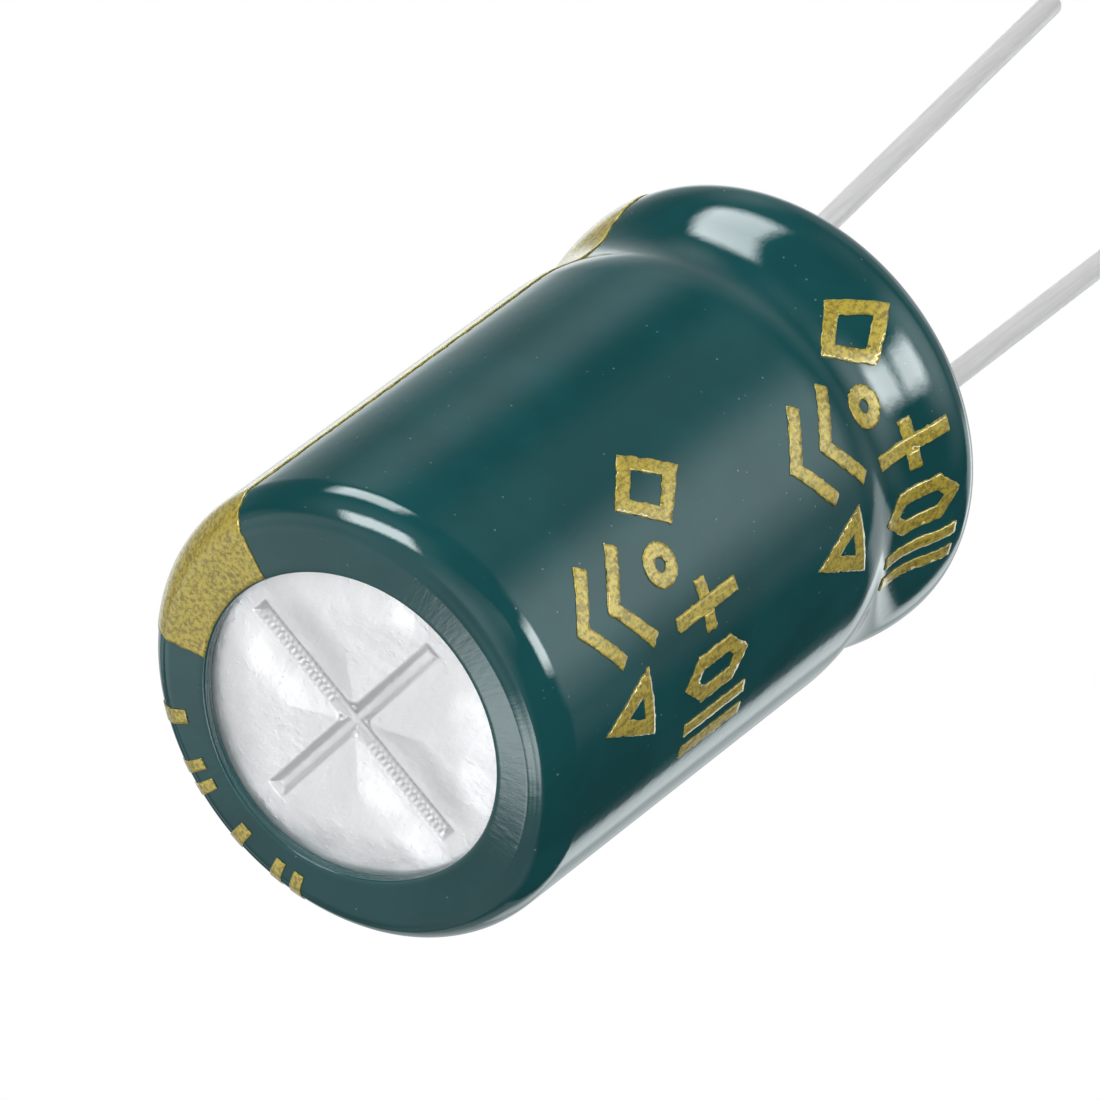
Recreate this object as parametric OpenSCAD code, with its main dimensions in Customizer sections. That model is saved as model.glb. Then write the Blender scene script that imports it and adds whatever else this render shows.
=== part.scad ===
// Radial electrolytic capacitor, 12.5 x 20 mm: a wound element in a crimped aluminium can,
// sealed by a rubber bung and covered by a heat-shrunk sleeve. Millimetres.
// The seat is at Z = 0, the leads run down -Z and the scored vent faces +Z.

/* [Can] */
// Diameter of the drawn can, without its sleeve
can_d = 12.5; // [11.5:0.1:16]
// Height of the crimped can, from its curled edge to its closed end
can_h = 19.85; // [16:0.05:32]
// Thickness of the can's side
can_wall = 0.3; // [0.2:0.01:0.36]
// Thickness of the can's closed end
end_wall = 0.4; // [0.3:0.05:0.6]
// Outside radius of the corner round the closed end
can_corner_r = 1.1; // [0.8:0.05:1.3]

/* [Vent] */
// Length of each arm of the scored cross, from the can's axis
vent_arm_l = 3.8; // [2.5:0.1:4.1]
// Width of the scored cross
vent_w = 0.5; // [0.3:0.05:0.8]
// Depth of the score
vent_depth = 0.16; // [0.05:0.01:0.25]
// Radius of the four inner corners where the arms meet
vent_fillet_r = 0.3; // [0.1:0.05:0.6]
// Turn of the cross from the line through the leads
vent_turn = -17; // [-45:1:45]

/* [Bead and curl] */
// Radius of the roller that forms the bead
bead_roll_r = 0.8; // [0.6:0.05:1.5]
// Radius that the side has where it turns into the bead from above
bead_top_r = 5.46; // [4:0.01:6.5]
// Radius that the bulge has where it turns into the bead from below
bead_low_r = 3.84; // [2.5:0.01:3.95]
// How far the squeezed bung pushes the wall out below the bead
bulge = 0.18; // [0.1:0.01:0.19]
// Outside radius of the curled edge
curl_r = 1.16; // [0.9:0.01:1.18]
// Angle that the curled edge turns through
curl_turn = 200; // [180:5:220]

/* [Sleeve] */
// Height of the middle of the groove where the sleeve bridges the bead
groove_z = 3.99; // [3.95:0.01:4.2]
// How far the groove dips in from the sleeve's side
groove_depth = 0.24; // [0.15:0.01:0.25]
// Radius of the groove's hollow
groove_r = 3.98; // [3:0.01:4.1]
// Thickness of the shrunk sleeve on the can's side
sleeve_wall = 0.2; // [0.1:0.01:0.3]
// Thickness of the sleeve where it is drawn in over the closed end
sleeve_lip = 0.35; // [0.2:0.01:0.5]
// Width of the rounded shoulder, from the sleeve's side in to the crease
sleeve_crease_w = 0.8; // [0.6:0.05:1]
// Radius of the rounded shoulder
sleeve_shoulder_r = 1.3; // [1.2:0.05:1.8]
// Mean width of the drawn-in end, from the sleeve's side in to the cut opening
ring_w = 1.95; // [1.5:0.05:2.4]
// How far the opening's edge departs from round
open_oval = 0.155; // [0:0.005:0.25]
// Direction of the opening's long axis
open_turn = 62; // [0:1:180]
// How far the opening's middle lies off the can's axis
open_off = 0.08; // [0:0.01:0.2]
// Width of the drawn-in end at the seat
seat_ring_w = 1.65; // [1.5:0.05:1.9]

/* [Polarity stripe] */
// Thickness of the printed ink
ink_t = 0.03; // [0.02:0.01:0.06]
// Angle that the stripe covers round the sleeve
stripe_angle = 48; // [20:1:70]
// Direction of the stripe's middle, with the positive lead at 0
stripe_dir = 172; // [160:1:200]
// Angle that the stripe reaches round the corner towards the seat
stripe_wrap = 55; // [10:5:60]
// Length of each minus sign left bare in the stripe, across the stripe
minus_l = 2.4; // [1:0.1:3]
// Width of each minus sign
minus_w = 0.55; // [0.3:0.05:1]
// Distance from one minus sign to the next
minus_pitch = 4.2; // [3:0.1:8]
// Height of the lowest minus sign's middle above the seat
minus_z = 7.4; // [6.8:0.1:9]

/* [Bung] */
// Height of the bung's outer face above the seat
bung_face_z = 0.9; // [0.6:0.05:1.1]
// Height of the bung's inner face above the seat
bung_top_z = 6.7; // [6.6:0.1:8.5]
// Chamfer round the bung's inner face
bung_chamfer = 0.3; // [0.1:0.05:0.5]
// Diameter of the narrow holes that the wires leave through
wire_hole_d = 1.2; // [1.1:0.05:1.4]
// Length of the narrow holes
wire_hole_l = 1; // [0.5:0.1:1.1]

/* [Leads] */
// Distance between the two leads
lead_pitch = 5; // [4.5:0.1:5.5]
// Diameter of the tinned wire
lead_d = 0.65; // [0.5:0.05:0.8]
// Reach of the positive lead below the seat
lead_pos_l = 25; // [5:0.5:40]
// Reach of the negative lead below the seat
lead_neg_l = 20; // [5:0.5:40]
// Angle that the negative lead is splayed outwards
splay = 5.4; // [1:0.1:12]
// Radius of the bend at the root of the splayed lead
splay_r = 3; // [1.5:0.5:6]
// Length of bare wire inside the bung's face, below the weld
wire_free_l = 0.1; // [0.1:0.05:0.3]
// Diameter of each tab's round stub
stub_d = 2; // [1.8:0.05:2.4]
// Length of the weld between wire and stub
weld_l = 1.4; // [1:0.1:1.5]
// Diameter of the weld at the stub
weld_d = 1.4; // [1.2:0.05:1.5]
// Width of each tab's flattened paddle
paddle_w = 2.4; // [1.6:0.1:3]
// Thickness of each paddle
paddle_t = 0.25; // [0.15:0.01:0.35]
// Length over which the stub flattens into the paddle
paddle_neck = 0.9; // [0.6:0.1:1.5]

/* [Wound element] */
// Gap between the element's tape and the can's side
side_gap = 0.2; // [0.1:0.05:0.5]
// Gap between the element and the can's closed end
end_gap = 0.25; // [0.1:0.05:0.6]
// Gap between the bung and the element
bung_gap = 1.1; // [1:0.1:2]
// Diameter of the hole that the winding mandrel leaves
core_d = 1.6; // [1:0.1:2.4]
// Distance from one turn to the next at the element's ends
turn_pitch = 0.6; // [0.5:0.05:0.9]
// Width of the groove between the turns
turn_gap_w = 0.22; // [0.1:0.02:0.3]
// Depth of the groove between the turns
turn_gap_l = 0.3; // [0.1:0.05:0.5]
// Thickness of the fixing tape
tape_t = 0.08; // [0.04:0.01:0.15]
// Distance from each end of the element to the fixing tape
tape_margin = 1.3; // [0.5:0.1:3]
// Angle of the tape's overlap
tape_lap = 70; // [20:5:180]
// Clearance round a paddle in the element
paddle_gap = 0.03; // [0.02:0.01:0.05]
// How far each paddle's end stays below the top of the element
paddle_margin = 1.5; // [1:0.1:4]

/* [Hidden] */
$fn = 96;
arc_step = 6;
open_points = 48;
spiral_step = 15;
eps = 0.01;

can_r = can_d / 2;
can_low_z = sleeve_wall;
can_top_z = can_low_z + can_h;
can_inner_r = can_r - can_wall;
can_inner_top_z = can_top_z - end_wall;
corner_c = [can_r - can_corner_r, can_top_z - can_corner_r];

bulge_r = can_r + bulge;
bridge_r = groove_r + sleeve_wall;
groove_c = [can_r - groove_depth + bridge_r, groove_z];
bead_top_c = [can_r - bead_top_r, groove_z + blend_h(groove_depth, bead_top_r + bridge_r)];
bead_low_c = [
    bulge_r - bead_low_r,
    groove_z - blend_h(groove_depth + bulge, bead_low_r + bridge_r)
];
bead_c = circles_meet(
    bead_low_c, bead_low_r + bead_roll_r,
    bead_top_c, bead_top_r + bead_roll_r
);
curl_c = [bulge_r - curl_r, can_low_z + curl_r];

sleeve_r = can_r + sleeve_wall;
sleeve_top_z = can_top_z + sleeve_lip;
open_r = sleeve_r - ring_w;
seat_open_r = sleeve_r - seat_ring_w;
shoulder_run = sleeve_shoulder_r - sleeve_crease_w;
shoulder_c = [
    sleeve_r - sleeve_shoulder_r,
    sleeve_top_z - sqrt(pow(sleeve_shoulder_r, 2) - pow(shoulder_run, 2))
];

stub_r = stub_d / 2;
stub_x = lead_pitch / 2;
wire_top_z = bung_face_z + wire_free_l;
stub_low_z = wire_top_z + weld_l;
winding_low_z = bung_top_z + bung_gap;
winding_top_z = can_inner_top_z - end_gap;
winding_r = can_inner_r - side_gap - 2 * tape_t;
paddle_low_z = winding_low_z - (bung_gap - paddle_neck) / 2;
stub_top_z = paddle_low_z - paddle_neck;
paddle_top_z = winding_top_z - paddle_margin;
tape_low_z = winding_low_z + tape_margin;
tape_w = winding_top_z - tape_margin - tape_low_z;

// Height between the centres of two arcs that touch, where one stands in from the other by depth
function blend_h(depth, sum_r) = sqrt(depth * (2 * sum_r - depth));

// Direction from one point to another
function angle_to(from, to) = atan2(to[1] - from[1], to[0] - from[0]);

// The outer of the two points that lie ra from point a and rb from point b
function circles_meet(a, ra, b, rb) =
    let (
        d = norm(b - a),
        along = (b - a) / d,
        x = (ra * ra - rb * rb + d * d) / (2 * d)
    )
    a + x * along + sqrt(ra * ra - x * x) * [along[1], -along[0]];

// Points on an arc round c, from angle a to angle b
function arc(c, r, a, b) =
    let (n = max(2, ceil(abs(b - a) / arc_step)))
    [for (i = [0:n]) c + r * [cos(a + (b - a) * i / n), sin(a + (b - a) * i / n)]];

function reversed(points) = [for (i = [len(points) - 1:-1:0]) points[i]];

// Outline of a hollow with centre c and radius r between bulge and side, a distance t further in
function hollow_line(c, r, t) =
    let (low_a = angle_to(bead_low_c, c), top_a = angle_to(bead_top_c, c))
    concat(
        arc(bead_low_c, bead_low_r - t, 0, low_a),
        arc(c, r + t, 180 + low_a, 180 + top_a),
        arc(bead_top_c, bead_top_r - t, top_a, 0)
    );

// The rolled bead's outline, a distance t inside the can's outer face
function bead_line(t) = hollow_line(bead_c, bead_roll_r, t);

// Outline of the sleeve's groove, which bridges the bead, a distance t inside the sleeve
function groove_line(t) = hollow_line(groove_c, bridge_r, t);

// The curled edge's outline, from its tip out to the bulge
function curl_line(t, from = -curl_turn) = arc(curl_c, curl_r - t, from, 0);

// The sleeve's outer outline from the seat to the crease, a distance t outside it
function sleeve_line(t, from = -90) = concat(
    curl_line(-sleeve_wall - t, from),
    groove_line(-sleeve_wall - t),
    arc(
        shoulder_c, sleeve_shoulder_r + t, 0,
        asin((sleeve_top_z + t - shoulder_c[1]) / (sleeve_shoulder_r + t))
    )
);

// Radius of the cut opening's edge in direction a
function open_edge_r(a) = open_r + open_oval * cos(2 * (a - open_turn));

// The cut opening over the vent
module vent_opening() {
    translate([open_off, 0, can_top_z - eps])
        linear_extrude(sleeve_lip + ink_t + 2 * eps)
            polygon([
                for (i = [0:open_points - 1])
                    let (a = 360 * i / open_points)
                    open_edge_r(a) * [cos(a), sin(a)]
            ]);
}

// Heat-shrunk sleeve, tight on the can and drawn in over both ends
module sleeve() {
    color("#2c5c5e")
        difference() {
            rotate_extrude()
                polygon(concat(
                    [[seat_open_r, 0]],
                    sleeve_line(0),
                    [[0, sleeve_top_z], [0, can_top_z]],
                    reversed(arc(corner_c, can_corner_r, 0, 90)),
                    reversed(groove_line(0)),
                    reversed(curl_line(0, -90)),
                    [[seat_open_r, can_low_z]]
                ));
            vent_opening();
        }
}

// Printed band that marks the negative lead, with bare minus signs
module polarity_stripe() {
    color("#b3a053")
        difference() {
            rotate([0, 0, stripe_dir - stripe_angle / 2])
                rotate_extrude(angle = stripe_angle)
                    polygon(concat(
                        sleeve_line(ink_t, -stripe_wrap),
                        [[0, sleeve_top_z + ink_t], [0, sleeve_top_z]],
                        reversed(sleeve_line(0, -stripe_wrap))
                    ));
            vent_opening();
            for (z = [minus_z:minus_pitch:shoulder_c[1] - minus_w])
                rotate([0, 0, stripe_dir])
                    translate([sleeve_r, 0, z])
                        cube([4 * sleeve_wall, minus_l, minus_w], center = true);
        }
}

// One half of the scored cross: a bar through the axis
module vent_bar() {
    square([2 * vent_arm_l, vent_w], center = true);
}

// Plan of the scored cross, with rounded inner corners
module vent_cross() {
    fillet = vent_w / 2 + vent_fillet_r;
    vent_bar();
    rotate(90)
        vent_bar();
    difference() {
        square(2 * fillet, center = true);
        for (i = [0:3])
            rotate(90 * i)
                translate([fillet, fillet])
                    circle(vent_fillet_r);
    }
}

// Drawn can with a beaded side, an edge curled over the bung and a scored end
module can() {
    inner_corner_r = can_corner_r - can_wall;
    color("#e9e9ec")
        difference() {
            rotate_extrude()
                polygon(concat(
                    curl_line(0),
                    bead_line(0),
                    arc(corner_c, can_corner_r, 0, 90),
                    [[0, can_top_z], [0, can_inner_top_z]],
                    reversed(arc(
                        [can_inner_r - inner_corner_r, can_inner_top_z - inner_corner_r],
                        inner_corner_r, 0, 90
                    )),
                    reversed(bead_line(can_wall)),
                    reversed(curl_line(can_wall))
                ));
            translate([0, 0, can_top_z - vent_depth])
                rotate([0, 0, vent_turn])
                    linear_extrude(vent_depth + eps)
                        vent_cross();
        }
}

// Moulded rubber bung, squeezed by the bead and the curled edge
module bung() {
    face_a = -180 - asin((bung_face_z - curl_c[1]) / curl_r);
    color("#26262a")
        difference() {
            rotate_extrude()
                polygon(concat(
                    [[0, bung_face_z]],
                    arc(curl_c, curl_r, face_a, -curl_turn),
                    curl_line(can_wall),
                    bead_line(can_wall),
                    [
                        [can_inner_r, bung_top_z - bung_chamfer],
                        [can_inner_r - bung_chamfer, bung_top_z],
                        [0, bung_top_z]
                    ]
                ));
            for (x = [-stub_x, stub_x])
                translate([x, 0, 0]) {
                    translate([0, 0, bung_face_z - eps])
                        cylinder(h = wire_hole_l + 2 * eps, d = wire_hole_d);
                    translate([0, 0, bung_face_z + wire_hole_l])
                        cylinder(h = bung_top_z, r = stub_r);
                }
        }
}

// Plan of the spiral groove between the turns
module turn_spiral() {
    first = core_d / 2 + turn_pitch / 2;
    turns = floor((winding_r - turn_pitch / 2 - first) / turn_pitch);
    steps = turns * 360 / spiral_step;
    function at(i, side) =
        let (a = i * spiral_step)
        (first + turn_pitch * a / 360 + side * turn_gap_w / 2) * [cos(a), sin(a)];
    polygon(concat(
        [for (i = [0:steps]) at(i, -1)],
        [for (i = [steps:-1:0]) at(i, 1)]
    ));
}

// Foils and paper rolled into one element, with a slot for each paddle
module winding() {
    color("#cbbf9f")
        difference() {
            translate([0, 0, winding_low_z])
                cylinder(h = winding_top_z - winding_low_z, r = winding_r);
            translate([0, 0, winding_low_z - eps])
                cylinder(h = can_h, d = core_d);
            for (z = [winding_low_z - eps, winding_top_z - turn_gap_l])
                translate([0, 0, z])
                    linear_extrude(turn_gap_l + eps)
                        turn_spiral();
            for (x = [-stub_x, stub_x])
                translate([x, 0, (winding_low_z - eps + paddle_top_z + paddle_gap) / 2])
                    cube([
                        paddle_t + 2 * paddle_gap,
                        paddle_w + 2 * paddle_gap,
                        paddle_top_z + paddle_gap - winding_low_z + eps
                    ], center = true);
        }
}

// Fixing tape round the element, with its lap
module winding_tape() {
    color("#d8cf9a")
        translate([0, 0, tape_low_z]) {
            rotate_extrude()
                translate([winding_r, 0])
                    square([tape_t, tape_w]);
            rotate_extrude(angle = tape_lap)
                translate([winding_r + tape_t / 2, 0])
                    square([1.5 * tape_t, tape_w]);
        }
}

// Aluminium tab: a round stub through the bung that is pressed flat into a paddle
module tab(x) {
    color("#d4d6da")
        translate([x, 0, 0]) {
            translate([0, 0, stub_low_z])
                cylinder(h = stub_top_z - stub_low_z, r = stub_r);
            hull() {
                translate([0, 0, stub_top_z - eps])
                    cylinder(h = eps, r = stub_r, $fn = 32);
                translate([-paddle_t / 2, -paddle_w / 2, paddle_low_z])
                    cube([paddle_t, paddle_w, eps]);
            }
            translate([-paddle_t / 2, -paddle_w / 2, paddle_low_z])
                cube([paddle_t, paddle_w, paddle_top_z - paddle_low_z]);
        }
}

module tab_positive() {
    tab(stub_x);
}

module tab_negative() {
    tab(-stub_x);
}

// Weld where a wire meets its stub
module weld(x) {
    translate([x, 0, wire_top_z])
        cylinder(h = weld_l, d1 = lead_d, d2 = weld_d);
}

// Straight tinned wire, the longer of the two
module lead_positive() {
    color("#dcd8d7") {
        weld(stub_x);
        translate([stub_x, 0, -lead_pos_l])
            cylinder(h = lead_pos_l + wire_top_z, d = lead_d);
    }
}

// Shorter tinned wire, splayed outwards from its root
module lead_negative() {
    straight_l = (wire_top_z - splay_r * sin(splay) + lead_neg_l) / cos(splay);
    color("#dcd8d7") {
        weld(-stub_x);
        translate([-stub_x - splay_r, 0, wire_top_z])
            rotate([0, splay, 0]) {
                translate([splay_r, 0, -straight_l])
                    cylinder(h = straight_l, d = lead_d);
                rotate([90, 0, 0])
                    rotate_extrude(angle = splay)
                        translate([splay_r, 0])
                            circle(d = lead_d);
            }
    }
}

sleeve();
polarity_stripe();
can();
bung();
winding();
winding_tape();
tab_positive();
tab_negative();
lead_positive();
lead_negative();
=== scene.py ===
"""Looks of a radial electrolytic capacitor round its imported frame, in metres and its axes."""

import math

import bmesh
import bpy
from bpy.props import FloatProperty, FloatVectorProperty, IntProperty, PointerProperty
from mathutils import Matrix, Vector, noise


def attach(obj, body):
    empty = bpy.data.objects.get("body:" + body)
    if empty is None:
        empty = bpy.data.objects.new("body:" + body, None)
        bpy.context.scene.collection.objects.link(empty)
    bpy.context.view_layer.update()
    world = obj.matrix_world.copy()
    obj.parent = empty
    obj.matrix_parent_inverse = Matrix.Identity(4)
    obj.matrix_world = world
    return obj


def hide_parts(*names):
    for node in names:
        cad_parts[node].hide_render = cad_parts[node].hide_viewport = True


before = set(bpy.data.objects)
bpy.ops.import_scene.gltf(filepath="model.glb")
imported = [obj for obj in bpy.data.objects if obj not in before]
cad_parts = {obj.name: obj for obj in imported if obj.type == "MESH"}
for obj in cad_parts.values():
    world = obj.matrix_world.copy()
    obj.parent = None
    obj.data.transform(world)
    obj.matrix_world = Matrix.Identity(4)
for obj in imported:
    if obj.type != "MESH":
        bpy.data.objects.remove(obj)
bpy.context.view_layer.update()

bl_info = {
    "name": "Radial Capacitor Looks",
    "version": (1, 0, 0),
    "blender": (4, 5, 0),
    "location": "3D View > Sidebar > Capacitor",
    "description": "Models the sleeve, inks, vented can and leads of a radial capacitor",
    "category": "Object",
}

MM = 0.001


# sizes and colours


def length(name, value, about):
    """A size in the panel, given here in millimetres."""
    return FloatProperty(
        name=name, description=about, default=value * MM, min=0, unit="LENGTH", precision=5
    )


def angle(name, value, about):
    """A direction or turn in the panel, given here in degrees."""
    return FloatProperty(
        name=name, description=about, default=math.radians(value), subtype="ANGLE"
    )


def share(name, value, about, most=1):
    """A plain number from nought to most."""
    return FloatProperty(
        name=name, description=about, default=value, min=0, max=most, subtype="FACTOR"
    )


def colour(name, value, about):
    """A colour in linear light."""
    return FloatVectorProperty(
        name=name, description=about, default=value, size=3, min=0, max=1, subtype="COLOR"
    )


# waves round the sleeve's opening: how many, their height in millimetres and where they start
OPENING_WAVES = ((3, 0.03, -1.1), (4, 0.03, 0.6))

# rough edge of the stripe: grains in a millimetre, and how far they turn it in radians
FRAY = ((3.1, 0.012), (9.7, 0.006))

# closed outlines: corners, radius in millimetres, and width as a share of height
OUTLINES = {
    "hexagon": (6, 1.45, 0.52),
    "diamond": (4, 1.45, 0.78),
    "triangle": (3, 1.45, 0.78),
    "ring": (28, 0.62, 1),
}
# two bars: width in strokes, height and distance from the middle
BARS = {"bars": (0.9, 2.8, 0.36), "pair": (0.8, 1.2, 0.32)}

# plain printed shapes on the side: kind, direction in degrees and height in millimetres
MARKS = (
    ("triangle", 29.3, 16.6),
    ("chevrons", 54.5, 16.6),
    ("bars", 11.2, 13.0),
    ("hexagon", 25.3, 13.0),
    ("plus", 41.6, 13.0),
    ("ring", 56.1, 14.1),
    ("diamond", 72.2, 13.0),
)
MARKS_PITCH = 9.9  # millimetres between the two like groups

# plain ticks over the end's edge: kind and direction in degrees
END_MARKS = (("tick", -141), ("pair", -123), ("tick", -104), ("pair", -87))

# panels of light that only glossy surfaces see: azimuth, elevation, half width and half height in
# degrees, level, and softness as a tangent
PANELS = (
    (134, 31, 15, 9, 14.0, 0.07),  # soft box over the vent end
    (134, 22, 26, 20, 0.5, 0.3),  # its glow
    (49, -24, 9, 11, 13.0, 0.09),  # soft box low on the near side
    (49, -43, 18, 12, 1.8, 0.22),  # its glow
    (143, -23, 14, 10, 9.5, 0.08),  # soft box low on the far side
    (158, -46, 10, 7, 0.2, 0.15),  # faint glows along the side
    (101, -46, 13, 8, 0.22, 0.15),
    (10, -46, 9, 8, 0.28, 0.12),
    (192, -54, 28, 8, 0.3, 0.15),
    (282, -44, 15, 30, 0.26, 0.09),  # brighter parts of the white sweep
    (291, -44, 5, 30, 0.9, 0.05),
    (229, -40, 8, 26, 0.5, 0.1),
    (314, -61, 13, 8, 1.1, 0.05),
    (266, 59, 8, 7, 5.2, 0.09),  # strips over the vent end
    (325, 65, 11, 7, 6.0, 0.1),
    (250, 40, 60, 26, 0.52, 0.4),  # pale walls and ceiling
    (150, 72, 80, 22, 0.7, 0.5),
    (20, 70, 40, 14, 0.7, 0.35),
    (70, -86, 30, 16, 0.35, 0.2),
)
# the white sweep: azimuth, where it rises and falls in degrees either side of it, and level
SWEEP = (258, (-86, -24), (43, 41), 0.5)
DARK_LEVEL = 0.03  # light from everywhere else


class CanSizes(bpy.types.PropertyGroup):
    diameter: length("Can diameter", 12.5, "Outside diameter of the drawn can")
    top: length("Can top", 20.05, "Height of the can's closed end above the seat")
    wall: length("Can wall", 0.3, "Thickness of the can's side")
    end_wall: length("End wall", 0.4, "Thickness of the can's closed end")
    corner: length("Corner radius", 1.1, "Outside radius round the closed end")
    bead_roll: length("Bead roll", 0.8, "Radius of the roller that forms the bead")
    bead_top: length("Bead top radius", 5.46, "Radius where the side turns into the bead")
    bead_low: length("Bead low radius", 3.84, "Radius where the bulge turns into the bead")
    bulge: length("Bulge", 0.18, "How far the wall stands out below the bead")
    curl: length("Curl radius", 1.16, "Outside radius of the curled edge")
    curl_turn: angle("Curl turn", 200, "Angle that the curled edge turns through")


class SleeveSizes(bpy.types.PropertyGroup):
    wall: length("Sleeve wall", 0.2, "Thickness of the shrunk sleeve on the side")
    lip: length("Lip thickness", 0.35, "Thickness of the sleeve over the closed end")
    groove_z: length("Groove height", 3.99, "Height of the groove that bridges the bead")
    groove_depth: length("Groove depth", 0.24, "How far the groove dips in")
    groove_r: length("Groove radius", 3.98, "Radius of the groove's hollow")
    crease: length("Crease diameter", 11.3, "Diameter of the crease between ring and shoulder")
    shoulder: length("Shoulder radius", 1.3, "Radius of the rounded shoulder")
    opening: length("Opening", 9.0, "Mean diameter of the opening over the vent")
    oval: length("Out of round", 0.155, "How far the opening departs from round")
    oval_turn: angle("Oval turn", 62, "Direction of the opening's long axis")
    shift: length("Opening shift", 0.08, "How far the opening stands off the axis")
    shift_turn: angle("Shift turn", -10, "Direction in which the opening stands off")
    seat_opening: length("Seat opening", 9.6, "Diameter of the opening round the leads")
    tint: colour("Sleeve colour", (0.012, 0.094, 0.101), "Colour of the sleeve's plastic")
    ring_rise: share("Ring rise", 0.12, "Slope of the drawn-in ring towards its cut edge")
    roughness: share("Sleeve roughness", 0.045, "Roughness of the sleeve's surface")
    edge: length("Edge rounding", 0.07, "Radius of the cut edges round the opening")


class InkSizes(bpy.types.PropertyGroup):
    thickness: length("Ink thickness", 0.03, "How far the ink stands off the sleeve")
    stripe_angle: angle("Stripe width", 48, "Angle that the stripe covers")
    stripe_dir: angle("Stripe direction", 172, "Direction of the stripe's middle")
    stripe_low: angle("Stripe end", 55, "How far the stripe follows the curled edge")
    minus_long: length("Minus length", 2.4, "Length of a bare minus sign")
    minus_wide: length("Minus width", 0.55, "Width of a bare minus sign")
    minus_pitch: length("Minus pitch", 4.2, "Height between two minus signs")
    minus_z: length("Lowest minus", 7.4, "Height of the lowest minus sign")
    stroke: length("Print stroke", 0.42, "Width of a printed line")
    tint: colour("Ink colour", (0.68, 0.53, 0.065), "Colour of the gold ink")
    dark: colour("Ink shade", (0.31, 0.235, 0.03), "Colour of the ink's dark grains")


class VentSizes(bpy.types.PropertyGroup):
    arm: length("Arm length", 3.8, "Length of each scored arm from the axis")
    width: length("Arm width", 0.5, "Width of the scored cross")
    depth: length("Score depth", 0.16, "Depth of the score")
    fillet: length("Inner corners", 0.3, "Radius of the corners where the arms meet")
    turn: angle("Cross turn", -17, "Turn of the cross from the line through the leads")
    cell: length("Grid cell", 0.042, "Size of the faces of the scored end")
    dome: length("Field height", 0.1, "How far each field between the arms stands up")
    tint: colour("Aluminium", (0.86, 0.83, 0.84), "Colour of the can")
    roughness: share("Aluminium roughness", 0.38, "Roughness of the can")
    rim: length("Scored end", 4.9, "Radius of the part of the end that is finely divided")
    step: length("Tool step", 0.17, "Length of one step that the scoring tool left")


class LeadSizes(bpy.types.PropertyGroup):
    pitch: length("Lead pitch", 5.0, "Distance between the two leads")
    diameter: length("Lead diameter", 0.65, "Diameter of a lead")
    positive: length("Positive lead", 25.0, "Length of the positive lead below the seat")
    negative: length("Negative lead", 20.0, "Length of the negative lead below the seat")
    splay: angle("Splay", 5.4, "Lean of the negative lead")
    splay_radius: length("Splay radius", 3.0, "Radius of the bend where the lead leans")
    top: length("Lead top", 1.0, "Height above the seat where a wire meets its weld")
    weld: length("Weld length", 1.4, "Length of the weld between wire and stub")
    weld_wide: length("Weld diameter", 1.4, "Diameter of the weld at the stub")
    tint: colour("Tinned wire", (0.93, 0.92, 0.915), "Colour of the tinned leads")


class StageSizes(bpy.types.PropertyGroup):
    azimuth: angle("Camera azimuth", 69.888, "Direction of the camera round the part")
    elevation: angle("Camera elevation", 45.560, "Height of the camera above the horizon")
    roll: angle("Camera roll", -127.040, "Turn of the camera about its view")
    distance: length("Camera distance", 338.920, "Distance from the camera to its aim")
    lens: FloatProperty(
        name="Lens", description="Focal length on a 36 mm sensor", default=425.4545, unit="CAMERA"
    )
    aim: FloatVectorProperty(
        name="Aim", description="Point that the camera looks at", size=3, subtype="TRANSLATION",
        unit="LENGTH", default=(-0.43426 * MM, 0.15902 * MM, 10.58482 * MM),
    )
    floor: length("Floor drop", 30.0, "How far the floor lies below the seat")
    even: share("Even light", 0.62, "Light that matt surfaces get from all sides")
    fall: share("Fall of light", 0.27, "How much less of it comes from the vent's side")
    key: share("Key light", 1.1, "Strength of the soft key light", 5)
    key_size: angle("Key size", 70, "Angle that the soft key light covers")
    key_azimuth: angle("Key azimuth", 112, "Direction of the key light round the part")
    key_elevation: angle("Key elevation", 24, "Height of the key light above the horizon")
    steps: IntProperty(
        name="Round steps", description="Faces round a turned piece", default=288, min=24
    )


# outlines, in millimetres


def settings(name):
    """A PropertyGroup's lengths in millimetres, and its other values as they are."""
    group = getattr(bpy.context.scene, name)
    found = {}
    for prop in group.bl_rna.properties:
        if prop.identifier in ("rna_type", "name"):
            continue
        value = getattr(group, prop.identifier)
        if prop.unit == "LENGTH" and isinstance(value, float):
            value = value / MM
        found[prop.identifier] = value
    return type(name, (), found)


def arc(centre, radius, start, end, step=4.0):
    """Points on an arc, in degrees, ends included."""
    count = max(2, math.ceil(abs(end - start) / step))
    turns = [math.radians(start + (end - start) * i / count) for i in range(count + 1)]
    return [
        (centre[0] + radius * math.cos(t), centre[1] + radius * math.sin(t)) for t in turns
    ]


def drop(depth, sum_r):
    """Height between the centres of two arcs that touch, one standing in by depth."""
    return math.sqrt(depth * (2 * sum_r - depth))


def towards(azimuth, elevation):
    """A unit vector in a direction given in radians."""
    return round_axis(math.cos(elevation), azimuth, math.sin(elevation))


def direction(start, end):
    """Angle in degrees of the line from one point to another."""
    return math.degrees(math.atan2(end[1] - start[1], end[0] - start[0]))


def between(start, end, part):
    """The point that lies a part of the way from start to end."""
    return tuple(a + (b - a) * part for a, b in zip(start, end))


def round_axis(radius, turn, height):
    """The point at a distance and direction from the axis and at a height."""
    return Vector((radius * math.cos(turn), radius * math.sin(turn), height))


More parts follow.
